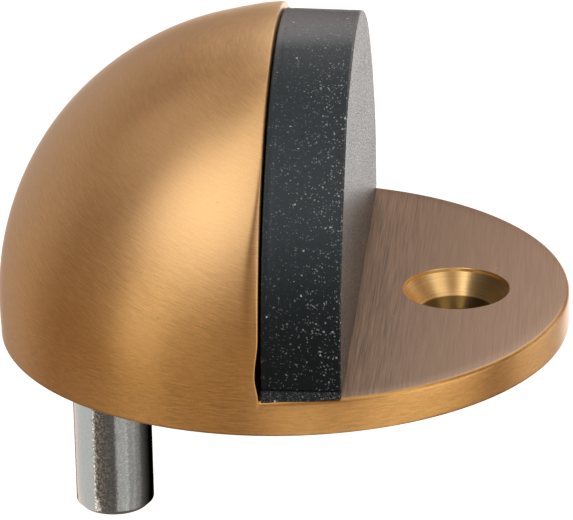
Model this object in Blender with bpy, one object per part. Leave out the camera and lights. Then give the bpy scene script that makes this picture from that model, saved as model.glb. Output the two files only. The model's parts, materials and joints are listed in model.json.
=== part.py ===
"""Half-dome floor door stop, modelled as its three separate pieces.

body    one casting: a round base plate with a screw hole, and a half dome standing on one half of it
buffer  a half-moon rubber pad in front of the dome, moulded in one piece with the plug behind it
pin     a plain steel dowel seated in the casting's boss, which drops into a hole in the floor

The origin is the centre of the base plate's underside. +Z is up, +X runs from the dome towards the
screw hole, and the object is the same on both sides of the plane y = 0. Lengths are in metres.
"""

import math

import bmesh
import bpy
from mathutils import Matrix

MM = 0.001
GAP = 0.3 * MM  # clearance kept between separate pieces

# Base plate
PLATE_RADIUS = 22.5 * MM
PLATE_THICKNESS = 2.8 * MM
PLATE_ROUNDING = 0.45 * MM  # radius along the upper rim
PLATE_CHAMFER = 0.2 * MM  # along the lower rim

# Dome
DOME_RADIUS = 22.65 * MM
DOME_CENTRE_Z = 2.55 * MM
DOME_FOOT_Z = 0.4 * MM  # where the dome's drafted wall leaves the plate's rim
DOME_FACE_X = -GAP / 2  # the flat face that the buffer stands against

# Screw hole
HOLE_X = 13.65 * MM
HOLE_RADIUS = 3.0 * MM
SINK_RADIUS = 4.2 * MM
SINK_BOTTOM_Z = 1.0 * MM
SINK_TOP_Z = 2.5 * MM  # a short straight step stands above the cone

# Recess in the dome's face, which takes the buffer's plug
POCKET_RADIUS = 18.5 * MM
POCKET_DEPTH = 8.0 * MM
POCKET_FLOOR_Z = 3.4 * MM

# Buffer
BUFFER_BACK_X = GAP / 2
BUFFER_THICKNESS = 5.9 * MM
BUFFER_BACK_RADIUS = 21.95 * MM
BUFFER_FRONT_RADIUS = 21.8 * MM  # a little draft towards the front
PLUG_DEPTH = 5.0 * MM

# Locating pin
PIN_X = -14.15 * MM
PIN_RADIUS = 3.15 * MM
PIN_TIP_Z = -16.4 * MM
PIN_TOP_Z = 8.0 * MM
PIN_CHAMFER = 0.45 * MM

# Facets
ROUND_SEGMENTS = 72
HOLE_SEGMENTS = 48
DOME_RINGS = 15
ROUNDING_STEPS = 3


def clear_scene():
    for item in list(bpy.data.objects):
        bpy.data.objects.remove(item)


def material(name, colour, roughness, metallic):
    """A Principled material with one colour."""
    made = bpy.data.materials.new(name)
    made.use_nodes = True
    made.diffuse_color = (*colour, 1.0)
    shader = made.node_tree.nodes["Principled BSDF"]
    shader.inputs["Base Color"].default_value = (*colour, 1.0)
    shader.inputs["Roughness"].default_value = roughness
    shader.inputs["Metallic"].default_value = metallic
    return made


def new_object(name, mesh_data, finish=None):
    """Turn a bmesh into an object, smooth across its round faces and sharp at its edges."""
    bmesh.ops.recalc_face_normals(mesh_data, faces=mesh_data.faces)
    mesh = bpy.data.meshes.new(name)
    mesh_data.to_mesh(mesh)
    mesh_data.free()
    mesh.shade_smooth()
    mesh.set_sharp_from_angle(angle=math.radians(30))
    made = bpy.data.objects.new(name, mesh)
    bpy.context.scene.collection.objects.link(made)
    if finish:
        mesh.materials.append(finish)
    return made


def arc(centre, radius, start, end, steps):
    """Points along an arc in a plane, both ends included. Angles are in degrees."""
    points = []
    for step in range(steps + 1):
        angle = math.radians(start + (end - start) * step / steps)
        points.append((centre[0] + radius * math.cos(angle), centre[1] + radius * math.sin(angle)))
    return points


def turned(name, profile, segments, finish=None):
    """Spin a profile of (radius, height) points, which starts and ends on the Z axis."""
    made = bmesh.new()
    points = [made.verts.new((radius, 0.0, height)) for radius, height in profile]
    edges = [made.edges.new(pair) for pair in zip(points, points[1:])]
    bmesh.ops.spin(
        made,
        geom=points + edges,
        axis=(0.0, 0.0, 1.0),
        cent=(0.0, 0.0, 0.0),
        angle=math.tau,
        steps=segments,
        use_merge=True,
    )
    bmesh.ops.remove_doubles(made, verts=made.verts, dist=0.0001 * MM)
    return new_object(name, made, finish)


def prism(name, outline, back_x, front_x, front_scale=1.0, finish=None):
    """Extrude an outline of (y, z) points along X. The front end may be a little smaller."""
    made = bmesh.new()
    points = [made.verts.new((back_x, y, z)) for y, z in outline]
    back = made.faces.new(points)
    front = bmesh.ops.extrude_face_region(made, geom=[back])["geom"]
    moved = [item for item in front if isinstance(item, bmesh.types.BMVert)]
    floor_z = min(z for _, z in outline)
    for point in moved:
        point.co.x = front_x
        point.co.y *= front_scale
        point.co.z = floor_z + (point.co.z - floor_z) * front_scale
    return new_object(name, made, finish)


def as_cutter(item):
    item.hide_render = True
    item.display_type = "WIRE"


def combine(target, tool, operation):
    """Add or cut away another solid with an exact Boolean, and keep that solid only as a guide."""
    step = target.modifiers.new(tool.name, "BOOLEAN")
    step.operation = operation
    step.solver = "EXACT"
    step.object = tool
    as_cutter(tool)


def plate_profile():
    """The base plate's half section, from the middle of its underside to the middle of its top."""
    rim = arc(
        (PLATE_RADIUS - PLATE_ROUNDING, PLATE_THICKNESS - PLATE_ROUNDING),
        PLATE_ROUNDING,
        0,
        90,
        ROUNDING_STEPS,
    )
    return [
        (0.0, 0.0),
        (PLATE_RADIUS - PLATE_CHAMFER, 0.0),
        (PLATE_RADIUS, PLATE_CHAMFER),
        (PLATE_RADIUS, DOME_FOOT_Z),
        *rim,
        (0.0, PLATE_THICKNESS),
    ]


def dome_profile():
    """The dome's half section: a drafted wall from the plate's rim, then a quarter circle to the crown."""
    crown = arc((0.0, DOME_CENTRE_Z), DOME_RADIUS, 0, 90, DOME_RINGS)
    return [(0.0, DOME_FOOT_Z), (PLATE_RADIUS, DOME_FOOT_Z), *crown[:-1], (0.0, crown[-1][1])]


def half_disc(radius, floor_z, centre_z=PLATE_THICKNESS):
    """Half-moon outline of (y, z) points, cut off flat at floor_z."""
    start = math.degrees(math.asin((floor_z - centre_z) / radius))
    return arc((0.0, centre_z), radius, start, 180 - start, ROUND_SEGMENTS // 2)


def make_body():
    """The casting: plate and dome in one, with its screw hole, plug recess and pin bore."""
    bronze = material("satin_bronze", (0.50, 0.27, 0.12), 0.32, 1.0)
    body = turned("body", plate_profile(), ROUND_SEGMENTS, bronze)

    dome = turned("dome_shape", dome_profile(), ROUND_SEGMENTS)
    reach = 2 * DOME_RADIUS
    front_half = bmesh.new()
    bmesh.ops.create_cube(front_half, size=2 * reach, matrix=Matrix.Translation((reach + DOME_FACE_X, 0, 0)))
    combine(dome, new_object("front_half_cutter", front_half), "DIFFERENCE")
    combine(body, dome, "UNION")

    pocket = half_disc(POCKET_RADIUS, POCKET_FLOOR_Z)
    pocket_cutter = prism("pocket_cutter", pocket, DOME_FACE_X - POCKET_DEPTH, BUFFER_THICKNESS)
    combine(body, pocket_cutter, "DIFFERENCE")

    over = 1.0 * MM
    sink = [
        (0.0, -over),
        (HOLE_RADIUS, -over),
        (HOLE_RADIUS, SINK_BOTTOM_Z),
        (SINK_RADIUS, SINK_TOP_Z),
        (SINK_RADIUS, PLATE_THICKNESS + over),
        (0.0, PLATE_THICKNESS + over),
    ]
    screw_cutter = turned("screw_hole_cutter", sink, HOLE_SEGMENTS)
    screw_cutter.location.x = HOLE_X
    combine(body, screw_cutter, "DIFFERENCE")

    bore_radius = PIN_RADIUS + GAP
    bore_top = PIN_TOP_Z + GAP
    bore = [(0.0, -over), (bore_radius, -over), (bore_radius, bore_top), (0.0, bore_top)]
    bore_cutter = turned("pin_bore_cutter", bore, HOLE_SEGMENTS)
    bore_cutter.location.x = PIN_X
    combine(body, bore_cutter, "DIFFERENCE")
    return body


def make_buffer():
    """The rubber pad with its plug, which is pressed and glued into the dome's recess."""
    rubber = material("black_rubber", (0.035, 0.045, 0.047), 0.55, 0.0)
    pad = prism(
        "buffer",
        half_disc(BUFFER_BACK_RADIUS, PLATE_THICKNESS + GAP),
        BUFFER_BACK_X,
        BUFFER_BACK_X + BUFFER_THICKNESS,
        BUFFER_FRONT_RADIUS / BUFFER_BACK_RADIUS,
        rubber,
    )
    plug_outline = half_disc(POCKET_RADIUS - GAP, POCKET_FLOOR_Z + GAP)
    plug = prism("plug_shape", plug_outline, DOME_FACE_X - PLUG_DEPTH, BUFFER_THICKNESS / 2)
    combine(pad, plug, "UNION")
    return pad


def make_pin():
    """The dowel, chamfered at both ends."""
    steel = material("plain_steel", (0.55, 0.55, 0.56), 0.35, 1.0)
    profile = [
        (0.0, PIN_TIP_Z),
        (PIN_RADIUS - PIN_CHAMFER, PIN_TIP_Z),
        (PIN_RADIUS, PIN_TIP_Z + PIN_CHAMFER),
        (PIN_RADIUS, PIN_TOP_Z - PIN_CHAMFER),
        (PIN_RADIUS - PIN_CHAMFER, PIN_TOP_Z),
        (0.0, PIN_TOP_Z),
    ]
    pin = turned("pin", profile, HOLE_SEGMENTS, steel)
    pin.location.x = PIN_X
    return pin


clear_scene()
make_body()
make_buffer()
make_pin()
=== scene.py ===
"""Looks of the half-dome floor door stop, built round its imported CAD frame.

Each of the three CAD pieces is replaced by a finer mesh of the same size with a procedural material.
Lengths are in metres and the axes are the frame's: +Z up, +X from the dome towards the screw hole.
"""

import json
import math

import bmesh
import bpy
from mathutils import Matrix, Vector, noise


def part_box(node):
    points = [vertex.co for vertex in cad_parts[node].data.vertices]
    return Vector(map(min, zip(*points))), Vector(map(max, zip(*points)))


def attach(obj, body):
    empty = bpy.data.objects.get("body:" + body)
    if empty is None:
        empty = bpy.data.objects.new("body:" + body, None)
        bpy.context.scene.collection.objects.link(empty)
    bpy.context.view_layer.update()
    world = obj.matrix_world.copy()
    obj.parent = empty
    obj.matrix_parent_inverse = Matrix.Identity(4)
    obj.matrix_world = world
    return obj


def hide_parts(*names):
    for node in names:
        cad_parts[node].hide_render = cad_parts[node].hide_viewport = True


MM = 0.001

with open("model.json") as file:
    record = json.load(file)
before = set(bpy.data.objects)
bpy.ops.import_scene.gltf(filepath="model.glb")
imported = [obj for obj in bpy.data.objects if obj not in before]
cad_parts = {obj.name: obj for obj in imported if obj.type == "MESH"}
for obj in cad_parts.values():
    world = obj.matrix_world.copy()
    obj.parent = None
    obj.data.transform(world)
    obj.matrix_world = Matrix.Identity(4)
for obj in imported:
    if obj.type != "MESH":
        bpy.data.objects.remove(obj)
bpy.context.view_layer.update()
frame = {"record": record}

# Driving sizes, read from the frame
BODY_LOW, BODY_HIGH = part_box("body")
_, BUFFER_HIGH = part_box("buffer")
PIN_LOW, PIN_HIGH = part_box("pin")
MOUNTS = {mount["name"]: mount for mount in frame["record"]["mounts"]}
SCREW_SPACE = frame["record"]["physics"]["openings"][0]["box_m"]

PLATE_RADIUS = BODY_HIGH.x + 0.1 * MM  # the brushed rim spreads a hair beyond the CAD's
PLATE_TOP = MOUNTS["screw_seat"]["pos_m"][2]
DOME_RADIUS = -BODY_LOW.x
DOME_Z = BODY_HIGH.z - DOME_RADIUS
PIN_X = (PIN_LOW.x + PIN_HIGH.x) / 2
PIN_RADIUS = (PIN_HIGH.x - PIN_LOW.x) / 2
HOLE_X = (SCREW_SPACE[0][0] + SCREW_SPACE[1][0]) / 2

# Body details
FACE_X = -0.15 * MM  # the dome's flat face
FACE_ROUNDING = 0.12 * MM
RUBBED_WIDTH = 1.5 * MM  # the cut edge is rubbed down this far in, less towards the top
RUBBED_DEPTH = 0.28 * MM
LIP_WIDTH = 4.4 * MM  # the same edge stands very slightly proud over the top
LIP_HEIGHT = 0.2 * MM
DRESSED_DEPTH = 0.24 * MM  # and it is dressed off low on the near side
DRESSED_WIDTH = 1.3 * MM
PLATE_ROUNDING = 0.35 * MM  # of the plate's upper rim
PLATE_EASING = 0.07 * MM  # the rounding of its lower rim
DOME_FOOT = 0.4 * MM  # the dome's wall starts this far up the plate's side
WAVINESS = 0.012 * MM  # hand polishing leaves the dome very slightly uneven
HOLE_RADIUS = 3.0 * MM
HOLE_DRAFT = 0.75 * MM  # the hole's lower edge closes in a little
SINK_RADIUS = 4.2 * MM
SINK_BOTTOM = 1.0 * MM
SINK_TOP = 2.5 * MM
SINK_EDGE = 0.06 * MM
POCKET_RADIUS = 18.5 * MM
POCKET_DEPTH = 8.0 * MM
POCKET_FLOOR = 3.4 * MM
BORE_ROOM = 0.12 * MM
BEYOND = 1.0 * MM  # how far a cutting solid reaches past the surface it cuts

# Fineness of the dome's mesh: steps up each side wall, over the half circle and from face to back
WALL_STEPS = 8
ARCH_STEPS = 168
DOME_ROWS = 110

# Buffer details
BACK_X = 0.0
FRONT_X = BUFFER_HIGH.x
BACK_RADIUS = 21.95 * MM
FRONT_RADIUS = 21.8 * MM
CROWN = 0.14 * MM  # the moulding stands a little higher over the top
BUFFER_FOOT = PLATE_TOP + 0.03 * MM
FOOT_BACK_RADIUS = 22.5 * MM  # the trimmed foot hangs over the plate's rim, most of all at the back
FOOT_FRONT_RADIUS = 21.95 * MM
FOOT_BACK_HEIGHT = 0.66 * MM
FOOT_FRONT_HEIGHT = 0.52 * MM
FOOT_DROOP = 0.24 * MM
CREASE = 0.11 * MM
EDGE_BEAD = 0.05 * MM  # a thin flash line left by the mould round the back edge
RUBBER_ROUNDING = 0.12 * MM
RUBBER_SWELL = 0.025 * MM  # the moulding is slightly uneven, and its torn foot and its front more so
FOOT_TEAR = 0.05 * MM
FRONT_SINK = 0.05 * MM
PLUG_DEPTH = 5.0 * MM
PLUG_ROOM = 0.2 * MM

# Pin details
PIN_CHAMFER = 0.42 * MM
PIN_SOFTENING = 0.08 * MM

# The dome was brushed round an axis that leans a little towards the screw hole and the near side
BRUSH_AXIS = Vector((0.222, -0.133, 0.966)).normalized()

# Camera, fitted to the outlines in the photograph
AIM = Vector((0.19, 0.0, 5.0)) * MM
ORBIT_CENTRE = Vector((0.0, 0.0, 8.0)) * MM
AZIMUTH = math.radians(5.05)  # from the near side, -Y, towards +X
ELEVATION = math.radians(21.88)
DISTANCE = 340 * MM
ROLL = math.radians(-1.09)
LENS = 270.2
SENSOR = 36.0


# --- meshes ---------------------------------------------------------------------------------------


def new_object(name, data):
    """Turn a bmesh into an object of the scene, with its faces turned outward."""
    bmesh.ops.recalc_face_normals(data, faces=data.faces)
    mesh = bpy.data.meshes.new(name)
    data.to_mesh(mesh)
    data.free()
    made = bpy.data.objects.new(name, mesh)
    bpy.context.scene.collection.objects.link(made)
    return made


def shade(item, angle=35):
    """Shade an object smooth, apart from edges sharper than the angle in degrees."""
    item.data.shade_smooth()
    item.data.set_sharp_from_angle(angle=math.radians(angle))


def arc(centre, radius, start, end, steps):
    """Points along an arc, both ends included, angles in degrees."""
    points = []
    for step in range(steps + 1):
        angle = math.radians(start + (end - start) * step / steps)
        points.append((centre[0] + radius * math.cos(angle), centre[1] + radius * math.sin(angle)))
    return points


def turned(name, profile, segments, centre_x=0.0):
    """Spin a profile of (radius, height) points, which starts and ends on the Z axis."""
    made = bmesh.new()
    points = [made.verts.new((radius, 0.0, height)) for radius, height in profile]
    edges = [made.edges.new(pair) for pair in zip(points, points[1:])]
    bmesh.ops.spin(
        made,
        geom=points + edges,
        axis=(0.0, 0.0, 1.0),
        cent=(0.0, 0.0, 0.0),
        angle=math.tau,
        steps=segments,
        use_merge=True,
    )
    bmesh.ops.remove_doubles(made, verts=made.verts, dist=0.0001 * MM)
    bmesh.ops.translate(made, verts=made.verts, vec=(centre_x, 0.0, 0.0))
    return new_object(name, made)


def prism(name, outline, back_x, front_x):
    """Extrude an outline of (y, z) points along X."""
    made = bmesh.new()
    back = made.faces.new([made.verts.new((back_x, y, z)) for y, z in outline])
    grown = bmesh.ops.extrude_face_region(made, geom=[back])["geom"]
    for item in grown:
        if isinstance(item, bmesh.types.BMVert):
            item.co.x = front_x
    return new_object(name, made)


def half_disc(radius, floor_z, steps):
    """Half-moon outline of (y, z) points about the plate's top, cut off flat at floor_z."""
    start = math.degrees(math.asin((floor_z - PLATE_TOP) / radius))
    return arc((0.0, PLATE_TOP), radius, start, 180 - start, steps)


def lofted(made, rings, closed):
    """Join rings of points with quads and return the rings' vertices."""
    rows = [[made.verts.new(point) for point in ring] for ring in rings]
    count = len(rows[0])
    for low, high in zip(rows, rows[1:]):
        for i in range(count if closed else count - 1):
            j = (i + 1) % count
            made.faces.new((low[i], low[j], high[j], high[i]))
    return rows


def carve(item, steps):
    """Apply exact Booleans, given as (operation, other solid), and remove the other solids."""
    for operation, tool in steps:
        step = item.modifiers.new(tool.name, "BOOLEAN")
        step.operation = operation
        step.solver = "EXACT"
        step.object = tool
    graph = bpy.context.evaluated_depsgraph_get()
    result = bpy.data.meshes.new_from_object(item.evaluated_get(graph))
    item.modifiers.clear()
    item.data = result
    for _, tool in steps:
        bpy.data.objects.remove(tool)


def smooth_step(value, low, high):
    """Rise smoothly from 0 at the low limit to 1 at the high one."""
    t = min(max((value - low) / (high - low), 0.0), 1.0)
    return t * t * (3 - 2 * t)


# --- body -----------------------------------------------------------------------------------------


def dome_arch(x, radius):
    """One rib of the dome at a given x: up the drafted wall, over the half circle and down again."""
    wall = []
    for step in range(WALL_STEPS):
        z = DOME_FOOT + (DOME_Z - DOME_FOOT) * step / WALL_STEPS
        below = (DOME_Z - z) / (DOME_Z - DOME_FOOT)
        scale = 1 - (DOME_RADIUS - PLATE_RADIUS) / DOME_RADIUS * below**2
        wall.append((x * scale, radius * scale, z))
    over = [Vector((x, y, z)) for y, z in arc((0.0, DOME_Z), radius, 0, 180, ARCH_STEPS)]
    up = [Vector(point) for point in wall]
    down = [Vector((px, -py, pz)) for px, py, pz in reversed(wall)]
    return up + over + down


def worn_face(point):
    """How far back a point of the dome's cut edge moves where the edge was dressed off."""
    rise = smooth_step(point.z, 2.9 * MM, 4.6 * MM)
    depth = DRESSED_DEPTH * rise * (1 - smooth_step(point.z, 4.8 * MM, 7.5 * MM))
    near = smooth_step(-point.y, 15 * MM, 20 * MM)
    reach = 1 - smooth_step(FACE_X - point.x, 0.0, DRESSED_WIDTH)
    return depth * near * reach


def skin_offset(point):
    """How far a point of the dome's skin stands off the true sphere."""
    inside = smooth_step(FACE_X - point.x, 0.3 * MM, 3 * MM) * smooth_step(point.z, 3 * MM, 6 * MM)
    waves = WAVINESS * inside * noise.noise(point / (6 * MM))
    from_face = max(FACE_X - point.x, 0.0)
    middle = smooth_step(point.z, 5 * MM, 11 * MM) * (1 - smooth_step(point.z, 13 * MM, 20 * MM))
    low = 1 - smooth_step(point.z, 2.4 * MM, 4.6 * MM)
    flush = (DOME_RADIUS - PLATE_RADIUS) * low * (1 - smooth_step(from_face, 0.3 * MM, 8 * MM))
    rubbed_width = RUBBED_WIDTH * (1 - 0.7 * smooth_step(point.z, 11 * MM, 18 * MM))
    rubbed = RUBBED_DEPTH * middle * max(1 - from_face / rubbed_width, 0.0) ** 3
    high = smooth_step(point.z, 17 * MM, 24 * MM)
    lip = LIP_HEIGHT * high * (1 - smooth_step(from_face, 0.0, LIP_WIDTH))
    return waves + lip - rubbed - flush


def make_dome():
    """The half dome as a closed solid, with a small rounding round its flat face."""
    edge_radius = math.sqrt(DOME_RADIUS**2 - FACE_X**2)
    # Two rows lie on the face itself, the next ones round its edge, and the rest on the sphere
    rows = [(FACE_X, edge_radius - 1.5 * MM), (FACE_X, edge_radius - 0.6 * MM)]
    rows += arc((FACE_X - FACE_ROUNDING, edge_radius - FACE_ROUNDING), FACE_ROUNDING, 0, 90, 5)
    start = math.asin((FACE_ROUNDING - FACE_X) / DOME_RADIUS)
    for step in range(1, DOME_ROWS):
        angle = start + (math.pi / 2 - start) * (step / DOME_ROWS) ** 1.35  # closer rows near the face
        rows.append((-DOME_RADIUS * math.sin(angle), DOME_RADIUS * math.cos(angle)))
    made = bmesh.new()
    rings = [dome_arch(x, radius) for x, radius in rows]
    for ring in rings:
        for point in ring:
            centre = Vector((0.0, 0.0, min(point.z, DOME_Z)))
            outward = (point - centre).normalized()
            point += outward * skin_offset(point)
            point.x -= worn_face(point)
    verts = lofted(made, rings, closed=False)
    made.faces.new(verts[0])
    # The back closes on a spine that runs up the middle of the wall to the half circle's end
    last = verts[-1]
    spine = [(-PLATE_RADIUS, 0.0, DOME_FOOT), *dome_arch(-DOME_RADIUS, 0.0)[1:WALL_STEPS]]
    spine = [made.verts.new(point) for point in [*spine, (-DOME_RADIUS, 0.0, DOME_Z)]]
    for i in range(WALL_STEPS):
        made.faces.new((last[i], last[i + 1], spine[i + 1], spine[i]))
        made.faces.new((last[-1 - i], spine[i], spine[i + 1], last[-2 - i]))
    for i in range(WALL_STEPS, len(last) - 1 - WALL_STEPS):
        made.faces.new((last[i], last[i + 1], spine[-1]))
    foot = [row[0] for row in verts] + [spine[0]] + [row[-1] for row in reversed(verts)]
    made.faces.new(foot)
    return new_object("half_dome", made)


def make_plate():
    """The round base plate, with a rounded upper rim and a slightly eased lower one."""
    rim = arc((PLATE_RADIUS - PLATE_ROUNDING, PLATE_TOP - PLATE_ROUNDING), PLATE_ROUNDING, 0, 90, 8)
    lower = arc((PLATE_RADIUS - PLATE_EASING, PLATE_EASING), PLATE_EASING, -90, 0, 4)
    profile = [
        (0.0, 0.0),
        (PLATE_RADIUS - 1.0 * MM, 0.0),
        *lower,
        (PLATE_RADIUS, DOME_FOOT),
        (PLATE_RADIUS, (DOME_FOOT + PLATE_TOP) / 2),
        *rim,
        (PLATE_RADIUS - 1.5 * MM, PLATE_TOP),
        (0.0, PLATE_TOP),
    ]
    return turned("cast_body", profile, 288)


def make_body():
    """The casting: plate and dome in one, with its screw hole, plug recess and pin bore."""
    body = make_plate()
    sink = [
        (0.0, -BEYOND),
        (HOLE_RADIUS - HOLE_DRAFT, -BEYOND),
        (HOLE_RADIUS - HOLE_DRAFT, 0.1 * MM),
        (HOLE_RADIUS - 0.15 * MM, SINK_BOTTOM - 0.1 * MM),
        (HOLE_RADIUS, SINK_BOTTOM),
        (HOLE_RADIUS + 0.3 * (SINK_RADIUS - HOLE_RADIUS), SINK_BOTTOM + 0.3 * (SINK_TOP - SINK_BOTTOM)),
        (SINK_RADIUS, SINK_TOP),
        (SINK_RADIUS, PLATE_TOP - SINK_EDGE),
        (SINK_RADIUS + SINK_EDGE, PLATE_TOP),
        (SINK_RADIUS + SINK_EDGE + BEYOND, PLATE_TOP + BEYOND),
        (0.0, PLATE_TOP + BEYOND),
    ]
    bore_radius = PIN_RADIUS + BORE_ROOM
    bore_top = PIN_HIGH.z + BORE_ROOM
    bore = [(0.0, -BEYOND), (bore_radius, -BEYOND), (bore_radius, bore_top), (0.0, bore_top)]
    pocket = half_disc(POCKET_RADIUS, POCKET_FLOOR, 72)
    carve(
        body,
        [
            ("UNION", make_dome()),
            ("DIFFERENCE", prism("pocket", pocket, FACE_X - POCKET_DEPTH, FRONT_X)),
            ("DIFFERENCE", turned("screw_hole", sink, 144, HOLE_X)),
            ("DIFFERENCE", turned("pin_bore", bore, 96, PIN_X)),
        ],
    )
    shade(body)
    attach(body, "root")
    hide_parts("body")
    return body


# --- buffer ---------------------------------------------------------------------------------------


def buffer_outline(radius, foot_radius, foot_height, inset):
    """Half-moon of (y, z) points on a trimmed foot, with a crease between them, drawn in by the inset."""
    floor_z = BUFFER_FOOT + inset
    crease_z = BUFFER_FOOT + foot_height
    arched = half_disc(radius - inset, crease_z + 0.1 * MM, 150)
    corner = foot_radius - inset
    droop = FOOT_DROOP * smooth_step(foot_radius, FOOT_FRONT_RADIUS, FOOT_BACK_RADIUS)
    right = [
        (corner - 0.55 * MM, floor_z),
        (corner - 0.2 * MM, floor_z - 0.25 * droop),
        (corner, floor_z - droop),
        (corner + 0.04 * MM, floor_z - droop + 0.2 * MM),
        (0.5 * (corner + radius - inset), floor_z + 0.6 * foot_height),
        (radius - inset, crease_z - 0.06 * MM),
        (radius - inset - CREASE, crease_z),
    ]
    left = [(-y, z) for y, z in reversed(right)]
    last = right[0][0]
    floor = [(-last + 2 * last * step / 40, floor_z) for step in range(1, 40)]
    return right + arched + left + floor


def buffer_sections(steps=36):
    """The (x, inset) of each outline of the pad, from one rounded edge to the other."""
    depth = FRONT_X - BACK_X
    sections = arc((BACK_X + RUBBER_ROUNDING, RUBBER_ROUNDING), RUBBER_ROUNDING, 180, 270, 4)
    for step in range(1, steps):
        sections.append((BACK_X + RUBBER_ROUNDING + (depth - 2 * RUBBER_ROUNDING) * step / steps, 0.0))
    sections += arc((FRONT_X - RUBBER_ROUNDING, RUBBER_ROUNDING), RUBBER_ROUNDING, 270, 360, 4)
    return sections


def roughen(point):
    """Crown the top of the pad and make its skin slightly uneven."""
    crown = smooth_step(point.z, PLATE_TOP + 0.5 * FRONT_RADIUS, PLATE_TOP + FRONT_RADIUS)
    point.z += CROWN * crown
    front = smooth_step(point.x, (BACK_X + FRONT_X) / 2, FRONT_X)
    low = 1 - smooth_step(point.z, BUFFER_FOOT, BUFFER_FOOT + FOOT_BACK_HEIGHT)
    swell = RUBBER_SWELL * noise.noise(point / (3 * MM) + Vector((9, 9, 9)))
    swell += FOOT_TEAR * low * noise.noise(point / (0.5 * MM))
    point.x -= FRONT_SINK * front * (0.5 + noise.noise(point / (7 * MM)))
    point.y += swell * (1 if point.y > 0 else -1)


def make_buffer():
    """The rubber moulding: a softly rounded half-moon pad and the plug behind it."""
    made = bmesh.new()
    rings = []
    for x, inset in buffer_sections():
        along = (x - BACK_X) / (FRONT_X - BACK_X)
        bead = 1 - smooth_step(along, 0.02, 0.07)
        groove = 1 - smooth_step(along, 0.07, 0.12)
        radius = BACK_RADIUS + (FRONT_RADIUS - BACK_RADIUS) * along + EDGE_BEAD * (bead - 0.5 * groove)
        foot_radius = FOOT_BACK_RADIUS + (FOOT_FRONT_RADIUS - FOOT_BACK_RADIUS) * along
        foot_height = FOOT_BACK_HEIGHT + (FOOT_FRONT_HEIGHT - FOOT_BACK_HEIGHT) * along
        outline = buffer_outline(radius, foot_radius, foot_height, inset)
        rings.append([Vector((x, y, z)) for y, z in outline])
    # The front face shrinks ring by ring towards its middle
    edge = rings[-1]
    middle = Vector((FRONT_X, 0.0, PLATE_TOP + FRONT_RADIUS * 0.45))
    for scale in (0.99, 0.97, 0.94, 0.9, 0.85, 0.78, 0.7, 0.6, 0.5, 0.38, 0.25, 0.12):
        rings.append([middle + (point - middle) * scale for point in edge])
    for ring in rings:
        for point in ring:
            roughen(point)
    verts = lofted(made, rings, closed=True)
    made.faces.new(list(reversed(verts[0])))
    made.faces.new(verts[-1])
    buffer = new_object("rubber_buffer", made)
    plug = half_disc(POCKET_RADIUS - PLUG_ROOM, POCKET_FLOOR + PLUG_ROOM, 72)
    carve(buffer, [("UNION", prism("plug", plug, FACE_X - PLUG_DEPTH, (BACK_X + FRONT_X) / 2))])
    shade(buffer, 40)
    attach(buffer, "root")
    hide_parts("buffer")
    return buffer


# --- pin ------------------------------------------------------------------------------------------


def make_pin():
    """The dowel, with small rounded chamfers and a faintly dished end."""
    low, high = PIN_LOW.z, PIN_HIGH.z
    inner = PIN_RADIUS - PIN_CHAMFER
    cut = PIN_CHAMFER + PIN_SOFTENING
    dish = [(0.0, low + 0.02 * MM), (PIN_RADIUS * 0.5, low + 0.015 * MM)]
    end = [(PIN_RADIUS - cut, low), (inner, low + 0.03 * MM)]
    side = [(PIN_RADIUS - 0.03 * MM, low + PIN_CHAMFER), (PIN_RADIUS, low + cut)]
    rings = [(PIN_RADIUS, low + (high - low) * step / 12) for step in range(1, 12)]
    top = [(PIN_RADIUS, high - cut), (inner, high), (0.0, high)]
    profile = [*dish, *end, *side, *rings, *top]
    pin = turned("steel_pin", profile, 160, PIN_X)
    shade(pin, 50)
    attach(pin, "root")
    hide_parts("pin")
    return pin


# --- materials ------------------------------------------------------------------------------------


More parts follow.
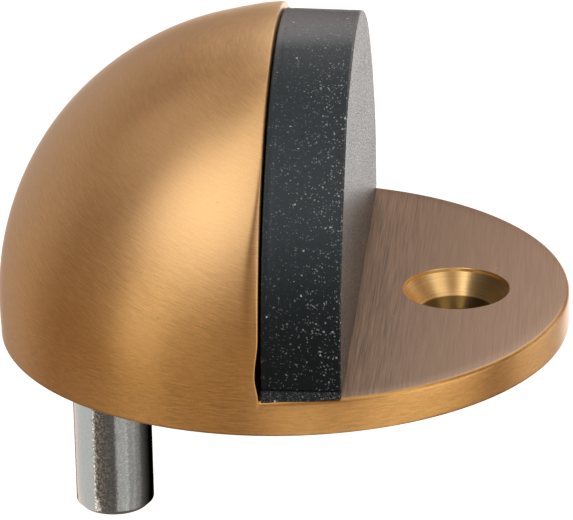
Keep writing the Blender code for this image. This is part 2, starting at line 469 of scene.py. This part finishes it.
class Shader:
    """Short calls that build one material's node tree."""

    def __init__(self, name):
        self.material = bpy.data.materials.new(name)
        self.material.use_nodes = True
        self.tree = self.material.node_tree
        self.surface = self.tree.nodes["Principled BSDF"]

    def node(self, kind, inputs=None, **settings):
        made = self.tree.nodes.new("ShaderNode" + kind)
        for key, value in settings.items():
            setattr(made, key, value)
        for key, value in (inputs or {}).items():
            self.put(made.inputs[key], value)
        return made

    def put(self, socket, value):
        """Link an output into a socket, or set the socket's own value."""
        if isinstance(value, bpy.types.NodeSocket):
            self.tree.links.new(value, socket)
        else:
            socket.default_value = value

    def math(self, operation, first, second):
        return self.node("Math", {0: first, 1: second}, operation=operation).outputs[0]

    def vector(self, operation, first, second=(0.0, 0.0, 0.0)):
        made = self.node("VectorMath", {0: first, 1: second}, operation=operation)
        return made.outputs["Value" if operation in ("DOT_PRODUCT", "LENGTH") else "Vector"]

    def ramp(self, value, low, high, to_low=0.0, to_high=1.0):
        """Smooth step of a value between two limits."""
        made = self.node(
            "MapRange",
            {"Value": value, "From Min": low, "From Max": high, "To Min": to_low, "To Max": to_high},
            interpolation_type="SMOOTHSTEP",
        )
        return made.outputs["Result"]

    def mix(self, factor, first, second):
        made = self.node("Mix", {"Factor": factor}, data_type="RGBA")
        self.put(made.inputs["A"], first)
        self.put(made.inputs["B"], second)
        return made.outputs["Result"]

    def blend(self, factor, first, second):
        """Mix two values."""
        made = self.node("Mix", {"Factor": factor}, data_type="FLOAT")
        self.put(made.inputs["A"], first)
        self.put(made.inputs["B"], second)
        return made.outputs["Result"]

    def place(self):
        """The object's own coordinates in millimetres."""
        coordinates = self.node("TexCoord")
        return self.vector("MULTIPLY", coordinates.outputs["Object"], (1 / MM, 1 / MM, 1 / MM))

    def noise(self, vector, scale, detail=2.0, roughness=0.5):
        inputs = {"Vector": vector, "Scale": scale, "Detail": detail, "Roughness": roughness}
        return self.node("TexNoise", inputs).outputs["Fac"]

    def wander(self, vector, scale, detail, reach):
        """Shift coordinates this way and that by a noise, whose full swing is the reach."""
        swing = self.node("TexNoise", {"Vector": vector, "Scale": scale, "Detail": detail})
        swing = self.vector("SUBTRACT", swing.outputs["Color"], (0.5, 0.5, 0.5))
        return self.vector("ADD", vector, self.vector("MULTIPLY", swing, (reach, reach, reach)))

    def specks(self, vector, scale, share, size):
        """Scattered round spots, size in mm: bright ones in a share of the cells, and as many dark."""
        cells = self.node("TexVoronoi", {"Vector": vector, "Scale": scale, "Randomness": 1.0})
        pick = self.node("SeparateColor", {0: cells.outputs["Color"]}).outputs
        radius = self.math("MULTIPLY", size * scale, self.ramp(pick[1], 0.0, 1.0, 0.4, 1.0))
        spot = self.math("LESS_THAN", cells.outputs["Distance"], radius)
        bright = self.math("MULTIPLY", spot, self.math("LESS_THAN", pick[0], share))
        dark = self.math("MULTIPLY", spot, self.math("GREATER_THAN", pick[0], 1 - share))
        return bright, dark

    def layered(self, vector, axis, along, across):
        """Scale the coordinates by one factor along an axis and by another across it."""
        height = self.vector("DOT_PRODUCT", vector, axis)
        columns = {key: self.math("MULTIPLY", height, axis[key] * (across - along)) for key in range(3)}
        shift = self.node("CombineXYZ", columns).outputs[0]
        return self.vector("ADD", self.vector("MULTIPLY", vector, (along, along, along)), shift)


def satin_bronze():
    """Brushed copper-bronze, with raw turned metal inside the countersink."""
    s = Shader("satin_bronze")
    place = s.place()
    split = s.node("SeparateXYZ", {0: place}).outputs
    up = s.node("SeparateXYZ", {0: s.node("NewGeometry").outputs["Normal"]}).outputs["Z"]
    on_top = s.math("MULTIPLY", s.ramp(up, 0.9, 0.98), s.ramp(split["X"], -0.1, 0.1))
    on_dome = s.ramp(split["Z"], 3.0, 9.0)

    # Inside the countersink: rings left by the cutter, and painted shade in the hole below
    from_hole = s.vector("SUBTRACT", place, (HOLE_X / MM, 0.0, 0.0))
    flat = s.vector("MULTIPLY", from_hole, (1.0, 1.0, 0.0))
    reach = s.vector("LENGTH", flat)
    in_sink = s.math("LESS_THAN", reach, (SINK_RADIUS + SINK_EDGE * 0.7) / MM)
    in_sink = s.math("MULTIPLY", in_sink, s.math("LESS_THAN", split["Z"], PLATE_TOP / MM - 0.01))
    hole_shade_mask = s.math("MULTIPLY", in_sink, s.ramp(split["Z"], 0.9, 1.0, 1.0, 0.0))
    rings = s.noise(s.node("CombineXYZ", {0: split["Z"], 1: 0.0, 2: 0.0}).outputs[0], 9.0, 3.0, 0.7)

    # Brush lines, which waver a little: long and straight on the plate's top, short elsewhere
    wavy = s.wander(place, 0.55, 2.0, 0.14)
    dome_lines = s.noise(s.layered(wavy, BRUSH_AXIS, 0.75, 17.0), 1.0, 3.0, 0.75)
    wall_lines = s.noise(s.layered(wavy, (0.0, 0.0, 1.0), 1.0, 14.0), 1.0, 3.0, 0.7)
    fine_lines = s.noise(s.vector("MULTIPLY", place, (13.0, 0.2, 1.0)), 1.0, 2.0, 0.6)
    broad_lines = s.noise(s.vector("MULTIPLY", place, (5.0, 0.1, 1.0)), 1.0, 2.0, 0.6)
    top_lines = s.blend(0.35, fine_lines, broad_lines)
    lines = s.blend(on_dome, wall_lines, dome_lines)
    lines = s.blend(on_top, lines, top_lines)
    lines = s.blend(in_sink, lines, rings)
    # The lines are strongest beside the buffer
    beside = s.ramp(split["X"], 7.0, 13.0, 3.0, 1.0)
    depth = s.blend(on_top, s.ramp(split["Z"], 9.0, 20.0, 1.0, 0.5), beside)

    cloud = s.noise(place, 0.12, 3.0)
    redder = s.mix(cloud, (0.75, 0.415, 0.115, 1.0), (0.78, 0.45, 0.145, 1.0))
    yellower = s.mix(cloud, (0.72, 0.445, 0.19, 1.0), (0.75, 0.48, 0.22, 1.0))
    bronze = s.mix(s.ramp(split["Z"], 4.0, 16.0), redder, yellower)
    # Painted shade: the top's base colour is darker than the dome's, most of all beside the buffer
    top = s.mix(s.ramp(split["X"], 5.0, 24.0), (0.375, 0.24, 0.15, 1.0), (0.56, 0.38, 0.255, 1.0))
    bronze = s.mix(on_top, bronze, top)
    bronze = s.mix(in_sink, bronze, (0.98, 0.66, 0.27, 1.0))
    # Painted shade: the hole's wall below the countersink is coloured dark olive
    bronze = s.mix(hole_shade_mask, bronze, (0.20, 0.115, 0.012, 1.0))

    # Light and dark: the lines, a thin line of painted shade low on the plate's edge, a fine grain and
    # tiny pits
    contrast = s.math("MULTIPLY", s.math("SUBTRACT", lines, 0.5), 1.05)
    tone = s.math("ADD", 1.0, s.math("MULTIPLY", contrast, depth))
    # Painted shade: the colour darkens along the bottom of the plate's edge
    painted_bottom_shade = s.ramp(split["Z"], 0.06, 0.2, -0.45, 0.0)
    tone = s.math("ADD", tone, s.math("MULTIPLY", painted_bottom_shade, s.math("SUBTRACT", 1.0, on_top)))
    grain = s.math("SUBTRACT", s.noise(place, 9.0, 2.0, 0.6), 0.5)
    tone = s.math("ADD", tone, s.math("MULTIPLY", grain, 0.3))
    bright, pits = s.specks(place, 0.9, 0.10, 0.07)
    tone = s.math("MULTIPLY", tone, s.math("SUBTRACT", 1.0, s.math("MULTIPLY", pits, 0.6)))
    tint = s.node("Mix", {"Factor": 1.0}, data_type="RGBA", blend_type="MULTIPLY")
    s.put(tint.inputs["A"], bronze)
    s.put(tint.inputs["B"], s.node("CombineColor", {0: tone, 1: tone, 2: tone}).outputs[0])
    # A few specks of dust
    coloured = s.mix(s.math("MULTIPLY", bright, 0.7), tint.outputs["Result"], (0.95, 0.9, 0.82, 1.0))
    s.put(s.surface.inputs["Base Color"], coloured)

    rough = s.blend(in_sink, s.ramp(lines, 0.2, 0.8, 0.30, 0.40), 0.32)
    s.put(s.surface.inputs["Roughness"], s.blend(bright, rough, 0.8))
    s.surface.inputs["Metallic"].default_value = 1.0
    s.surface.inputs["Anisotropic"].default_value = 0.85
    # A thin clear lacquer, which pales the metal where it is seen at a low angle
    s.surface.inputs["Coat Weight"].default_value = 0.7
    s.surface.inputs["Coat Roughness"].default_value = 0.35

    # The brush lines run round a leaning axis on the dome, round the upright one below it, and along Y
    # on the top. The gloss is stretched across the lines, along the projection of that axis.
    lean = s.node("Mix", {"Factor": on_dome}, data_type="VECTOR")
    s.put(lean.inputs["A"], (0.0, 0.0, 1.0))
    s.put(lean.inputs["B"], BRUSH_AXIS)
    across = s.node("Mix", {"Factor": on_top}, data_type="VECTOR")
    s.put(across.inputs["A"], lean.outputs["Result"])
    s.put(across.inputs["B"], (1.0, 0.0, 0.0))
    s.put(s.surface.inputs["Tangent"], across.outputs["Result"])

    bump = s.node("Bump", {"Strength": 0.3, "Distance": 0.006 * MM, "Height": lines})
    s.put(s.surface.inputs["Normal"], bump.outputs["Normal"])
    return s.material


def black_rubber():
    """Dusty moulded rubber: near black with a cold tint and a soft gloss."""
    s = Shader("black_rubber")
    place = s.place()
    split = s.node("SeparateXYZ", {0: place}).outputs
    low = s.ramp(split["Z"], PLATE_TOP / MM + 0.5, PLATE_TOP / MM + 0.68, 1.0, 0.0)
    front = s.ramp(split["X"], FRONT_X / MM - 0.25, FRONT_X / MM - 0.1)

    # The rubber is darker low down, which is painted shade, crumbly on its foot and pebbled on its front
    cloud = s.noise(place, 0.5, 4.0)
    base = s.mix(cloud, (0.0045, 0.012, 0.016, 1.0), (0.010, 0.024, 0.030, 1.0))
    # Painted shade: the colour darkens from high on the pad to low
    height = s.ramp(split["Z"], 5.0, 16.0)
    base = s.mix(0.6, base, s.mix(height, (0.002, 0.005, 0.007, 1.0), (0.016, 0.037, 0.053, 1.0)))
    crumbs = s.ramp(s.noise(place, 9.0, 2.0, 0.6), 0.52, 0.68)
    rough_skin = s.math("MAXIMUM", s.math("MULTIPLY", low, 0.34), s.math("MULTIPLY", front, 0.10))
    base = s.mix(s.math("MULTIPLY", crumbs, rough_skin), base, (0.4, 0.42, 0.42, 1.0))
    pebbles = s.ramp(s.noise(s.vector("MULTIPLY", place, (5.0, 1.2, 7.0)), 1.0, 2.0, 0.6), 0.50, 0.66)
    pebbles = s.math("MULTIPLY", s.math("MULTIPLY", pebbles, front), 0.22)
    base = s.mix(pebbles, base, (0.4, 0.36, 0.32, 1.0))
    # A pale band along the crest is painted highlight, and pale dust lies on the upper front
    crest_highlight_and_dust = s.ramp(split["Z"], PLATE_TOP / MM + 21.5, PLATE_TOP / MM + 22.1, 0.0, 0.45)
    crest_highlight_and_dust = s.math("MAXIMUM", crest_highlight_and_dust, s.math("MULTIPLY", front, s.ramp(split["Z"], 17.0, 24.0, 0.0, 0.2)))
    base = s.mix(crest_highlight_and_dust, base, (0.36, 0.39, 0.43, 1.0))

    # Ragged dust in three sizes, thicker towards the front edge, and small holes
    forward = s.ramp(split["X"], 1.0, 6.0, 0.35, 1.0)
    ragged = s.wander(place, 9.0, 1.0, 0.22)
    fine, _ = s.specks(ragged, 6.0, 0.45, 0.06)
    middle, holes = s.specks(s.vector("ADD", ragged, (3.1, 7.7, 1.3)), 3.2, 0.30, 0.085)
    coarse, _ = s.specks(s.vector("ADD", ragged, (8.3, 2.9, 5.1)), 1.5, 0.2, 0.10)
    dust = s.math("MULTIPLY", fine, s.math("MULTIPLY", forward, 0.45))
    dust = s.math("MAXIMUM", dust, s.math("MULTIPLY", middle, s.math("MULTIPLY", forward, 0.6)))
    dust = s.math("MAXIMUM", dust, s.math("MULTIPLY", coarse, 0.95))
    base = s.mix(dust, base, (0.66, 0.74, 0.76, 1.0))
    base = s.mix(s.math("MULTIPLY", holes, 0.8), base, (0.001, 0.001, 0.001, 1.0))
    s.put(s.surface.inputs["Base Color"], base)

    # The front is glossier, with a coarser skin, and the trimmed foot is torn and matt
    grain = s.noise(place, 7.0, 3.0, 0.7)
    foot = s.math("MULTIPLY", low, s.math("SUBTRACT", 1.0, front))
    rough = s.blend(front, s.ramp(grain, 0.3, 0.7, 0.36, 0.50), s.ramp(grain, 0.35, 0.65, 0.24, 0.48))
    rough = s.blend(foot, rough, 0.6)
    s.put(s.surface.inputs["Roughness"], s.blend(dust, rough, 0.9))
    s.put(s.surface.inputs["Specular IOR Level"], s.ramp(split["Z"], 5.0, 16.0, 0.28, 0.5))
    coarser = s.math("ADD", s.math("MULTIPLY", foot, 3.0), s.math("MULTIPLY", front, 2.5))
    relief = s.math("MULTIPLY", grain, s.math("ADD", 1.0, coarser))
    bump = s.node("Bump", {"Strength": 0.5, "Distance": 0.01 * MM, "Height": relief})
    s.put(s.surface.inputs["Normal"], bump.outputs["Normal"])
    return s.material


def plain_steel():
    """Drawn steel with a mottled satin skin."""
    s = Shader("plain_steel")
    place = s.place()
    mottle = s.noise(place, 4.2, 3.0, 0.65)
    cloud = s.noise(place, 0.6, 2.0)
    base = s.mix(cloud, (0.25, 0.35, 0.43, 1.0), (0.275, 0.375, 0.455, 1.0))
    base = s.mix(s.ramp(mottle, 0.45, 0.65, 0.0, 0.12), base, (0.14, 0.15, 0.16, 1.0))
    _, pits = s.specks(place, 0.9, 0.05, 0.09)
    base = s.mix(s.math("MULTIPLY", pits, 0.7), base, (0.12, 0.11, 0.10, 1.0))
    # Painted highlight: a stripe of pale flecks along the dark band stands in for glints of light from
    # the bright bands
    across = s.node("SeparateXYZ", {0: place}).outputs["X"]
    start, end = PIN_X / MM - 1.35, PIN_X / MM + 0.5
    fading = s.ramp(across, start + 0.3, end, 1.0, 0.15)
    glint_stripe = s.math("MULTIPLY", s.ramp(across, start, start + 0.1), fading)
    painted_glints = s.ramp(s.noise(place, 5.5, 2.0, 0.6), 0.47, 0.60)
    painted_glints = s.math("MULTIPLY", s.math("MULTIPLY", painted_glints, glint_stripe), 0.8)
    base = s.mix(painted_glints, base, (0.9, 0.98, 1.0, 1.0))
    # Painted shade: one side is coloured near black, with a black specular tint, standing in for a dark
    # reflection there
    painted_dark_side = s.ramp(across, PIN_X / MM + 2.1, PIN_X / MM + 3.1, 0.0, 0.85)
    base = s.mix(painted_dark_side, base, (0.01, 0.01, 0.01, 1.0))
    s.put(s.surface.inputs["Specular Tint"], s.mix(painted_dark_side, (1.0, 1.0, 1.0, 1.0), (0.0, 0.0, 0.0, 1.0)))
    s.put(s.surface.inputs["Base Color"], base)
    s.put(s.surface.inputs["Roughness"], s.ramp(mottle, 0.3, 0.7, 0.10, 0.20))
    s.surface.inputs["Metallic"].default_value = 1.0
    bump = s.node("Bump", {"Strength": 0.5, "Distance": 0.022 * MM, "Height": mottle})
    s.put(s.surface.inputs["Normal"], bump.outputs["Normal"])
    return s.material


# --- stage ----------------------------------------------------------------------------------------


def towards(azimuth, elevation):
    """The direction out from the object at two angles in radians, with azimuth 0 on the near side."""
    flat = math.cos(elevation)
    return Vector((math.sin(azimuth) * flat, -math.cos(azimuth) * flat, math.sin(elevation)))


def make_camera():
    """A camera at the photograph's viewing angle."""
    data = bpy.data.cameras.new("camera")
    data.lens = LENS
    data.sensor_width = SENSOR
    data.clip_start = 0.01
    data.clip_end = 10.0
    camera = bpy.data.objects.new("camera", data)
    bpy.context.scene.collection.objects.link(camera)
    camera.location = ORBIT_CENTRE + towards(AZIMUTH, ELEVATION) * DISTANCE
    look = (AIM - camera.location).to_track_quat("-Z", "Y").to_matrix()
    camera.rotation_euler = (look @ Matrix.Rotation(ROLL, 3, "Z")).to_euler()
    bpy.context.scene.camera = camera


# The studio: name, azimuth, elevation and half width of each light in degrees, and its radiance.
# Azimuth 0 is the near side and 90 is +X. The bronze and the rubber see these.
STUDIO = (
    ("key_left", -39, 47, 33, 1.65),
    ("left_low", -52, 0, 17, 0.8),
    ("left_high", -103, 53, 24, 0.42),
    ("key_right", 64, 2, 33, 1.15),
    ("right_high", 57, 49, 22, 1.1),
    ("right_low", 37, -25, 17, 0.45),
    ("top", 0, 85, 28, 0.5),
    ("back_right", 120, -6, 30, 0.75),
    ("back_low", 176, -22, 32, 1.45),
    ("back_high", 165, 43, 30, 1.05),
    ("back_left", -132, 2, 42, 0.24),
    ("under_right", 52, -65, 26, 2.2),
    ("under_left", -76, -62, 42, 0.3),
)
# Plain panels that only the steel pin sees, so that its polish shows upright bands
PIN_STUDIO = (
    ("pin_left", -100, -15, 43, 1.37),
    ("pin_right", 29, -15, 16, 0.86),
    ("pin_dimmer", 57, -15, 13, 0.58),
    ("pin_dim", 80, -15, 11, 0.38),
    ("pin_edge", 100, -15, 10, 0.06),
)
PIN_TINT = (1.0, 0.76, 0.60)  # warm, which evens out the steel's cold base colour
# A fill from below the camera that only the body sees
BODY_STUDIO = (("front_low", 8, -27, 19, 0.75),)
LIGHT_DISTANCE = 500 * MM
PANEL_HALF_HEIGHT = 50  # degrees


def group(name, *items):
    """A collection for light linking, made once and reused by name."""
    made = bpy.data.collections.get(name)
    if made is None:
        made = bpy.data.collections.new(name)
        for item in items:
            made.objects.link(item)
    return made


def softbox(seen_by, name, azimuth, elevation, spread, radiance):
    """A round light that faces the object and lights one collection. Returns its light data."""
    direction = towards(math.radians(azimuth), math.radians(elevation))
    radius = LIGHT_DISTANCE * math.tan(math.radians(spread))
    data = bpy.data.lights.new(name, "AREA")
    data.shape = "DISK"
    data.size = 2 * radius
    data.energy = radiance * math.pi * math.pi * radius**2
    light = bpy.data.objects.new(name, data)
    light.location = ORBIT_CENTRE + direction * LIGHT_DISTANCE
    light.rotation_euler = direction.to_track_quat("Z", "Y").to_euler()
    light.visible_camera = False
    light.light_linking.receiver_collection = seen_by
    bpy.context.scene.collection.objects.link(light)

    # The light is brightest in its middle and fades out towards its edge
    data.use_nodes = True
    tree = data.node_tree
    place = tree.nodes.new("ShaderNodeTexCoord")
    offset = tree.nodes.new("ShaderNodeVectorMath")
    offset.operation = "DISTANCE"
    offset.inputs[1].default_value = (0.5, 0.5, 0.0)
    fade = tree.nodes.new("ShaderNodeMapRange")
    fade.interpolation_type = "SMOOTHSTEP"
    fade.inputs["From Min"].default_value = 0.5
    fade.inputs["From Max"].default_value = 0.15
    tree.links.new(place.outputs["UV"], offset.inputs[0])
    tree.links.new(offset.outputs["Value"], fade.inputs["Value"])
    tree.links.new(fade.outputs["Result"], tree.nodes["Emission"].inputs["Strength"])
    return data


def panel(seen_by, *placing):
    """A plain upright panel, evenly bright, placed as a softbox is."""
    data = softbox(seen_by, *placing)
    data.use_nodes = False
    tall = 2 * LIGHT_DISTANCE * math.tan(math.radians(PANEL_HALF_HEIGHT))
    data.shape = "RECTANGLE"
    data.energy *= 4 / math.pi * tall / data.size
    data.size_y = tall
    data.color = PIN_TINT


def make_world():
    """White to the camera, and a dim warm room to everything else."""
    world = bpy.data.worlds.new("studio")
    bpy.context.scene.world = world
    world.use_nodes = True
    nodes, links = world.node_tree.nodes, world.node_tree.links
    background = nodes["Background"]
    background.inputs["Color"].default_value = (1.0, 0.68, 0.5, 1.0)
    background.inputs["Strength"].default_value = 0.27
    white = nodes.new("ShaderNodeBackground")
    white.inputs["Color"].default_value = (1.0, 1.0, 1.0, 1.0)
    path = nodes.new("ShaderNodeLightPath")
    mix = nodes.new("ShaderNodeMixShader")
    links.new(path.outputs["Is Camera Ray"], mix.inputs["Fac"])
    links.new(background.outputs[0], mix.inputs[1])
    links.new(white.outputs[0], mix.inputs[2])
    links.new(mix.outputs[0], nodes["World Output"].inputs["Surface"])


def make_floor():
    """A plain white floor, well below the pin, too bright to show a shadow. Only the camera sees it."""
    made = bmesh.new()
    bmesh.ops.create_grid(made, x_segments=1, y_segments=1, size=6.0)
    floor = new_object("floor", made)
    floor.location.z = PIN_LOW.z - 60 * MM
    s = Shader("pale_floor")
    s.surface.inputs["Base Color"].default_value = (0.9, 0.9, 0.9, 1.0)
    s.surface.inputs["Roughness"].default_value = 0.9
    s.surface.inputs["Emission Color"].default_value = (1.0, 1.0, 1.0, 1.0)
    s.surface.inputs["Emission Strength"].default_value = 1.0
    floor.data.materials.append(s.material)
    for ray in ("diffuse", "glossy", "transmission", "shadow"):
        setattr(floor, "visible_" + ray, False)


def main():
    bpy.context.scene.view_settings.view_transform = "Standard"
    body, buffer, pin = make_body(), make_buffer(), make_pin()
    body.data.materials.append(satin_bronze())
    buffer.data.materials.append(black_rubber())
    pin.data.materials.append(plain_steel())
    make_world()
    make_floor()
    for light in STUDIO:
        softbox(group("bronze_and_rubber", body, buffer), *light)
    for light in BODY_STUDIO:
        softbox(group("bronze", body), *light)
    for light in PIN_STUDIO:
        panel(group("steel", pin), *light)
    make_camera()


main()
